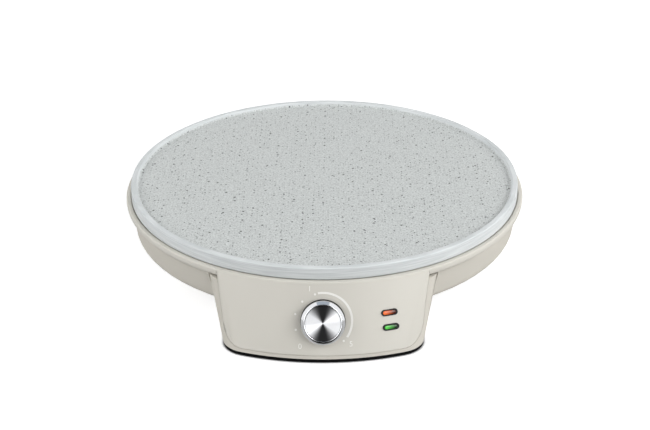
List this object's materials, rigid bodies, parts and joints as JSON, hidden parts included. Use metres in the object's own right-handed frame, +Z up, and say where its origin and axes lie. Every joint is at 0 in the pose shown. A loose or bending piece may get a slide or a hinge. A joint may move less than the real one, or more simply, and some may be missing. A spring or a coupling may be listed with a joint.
{
  "type": "electric crepe maker",
  "caption": "Round electric crepe maker: a speckled dished hotplate on a cream moulded housing with a leaning front control pod, turning heat knob and pilot lamps.",
  "frame": {"origin": "middle of the part's box, on the counter plane that the feet stand on", "axes": "+Z up, -Y towards the user at the control pod, +X to the user's right"},
  "size_m": [0.308, 0.3315, 0.062],
  "materials": {
    "cream_plastic": "satin warm cream-grey moulded plastic",
    "stone_coat": "light grey non-stick coat with dark speckles over cast aluminium",
    "black_plastic": "satin black plastic",
    "rubber": "matt black rubber",
    "steel": "plain zinc-plated steel",
    "chrome": "polished chrome",
    "spun_metal": "radially spun aluminium",
    "brass": "plain brass",
    "ceramic": "white electrical ceramic",
    "lamp_red": "clear orange-red lens",
    "lamp_green": "clear green lens",
    "neon_glass": "clear glass",
    "lead_sleeve": "red silicone sleeve"
  },
  "bodies": {
    "housing": {"hotplate": "stone_coat", "heating_element": "steel", "element_insulators": "ceramic", "element_pins": "steel", "heat_reflector": "steel", "plate_spacers": "ceramic", "plate_screws": "steel", "sensor_bulb": "steel", "sensor_clip": "steel", "sensor_screw": "steel", "thermal_fuse": "ceramic", "fuse_clip": "steel", "fuse_screw": "steel", "upper_housing": "cream_plastic", "lower_housing": "cream_plastic", "bowl_rear": "cream_plastic", "pod_shell": "cream_plastic", "housing_screws": "steel", "base_cover": "black_plastic", "base_screws": "steel", "front_pads": "rubber", "rear_leg_left": "cream_plastic", "rear_leg_right": "cream_plastic", "leg_screws": "steel", "rear_pads": "rubber", "thermostat_body": "ceramic", "thermostat_nut": "steel", "thermostat_terminals": "brass", "thermostat_bracket": "steel", "bracket_screws": "steel", "power_lens": "lamp_red", "ready_lens": "lamp_green", "lamp_bezels": "black_plastic", "lamp_carrier": "ceramic", "carrier_screws": "steel", "neon_lamps": "neon_glass", "terminal_block": "ceramic", "terminal_screws": "brass", "block_screws": "steel", "internal_leads": "lead_sleeve", "cord_gland": "black_plastic"},
    "knob": {"knob_body": "black_plastic", "knob_ring": "chrome", "knob_disc": "spun_metal", "knob_pointer": "black_plastic", "thermostat_shaft": "brass"}
  },
  "joints": [
    {"name": "knob_turn", "type": "hinge", "parent": "housing", "child": "knob", "pos_m": [0, -0.15201, 0.0276], "axis": [0, 0.9272, -0.3746], "range_deg": [0, 270]}
  ]
}
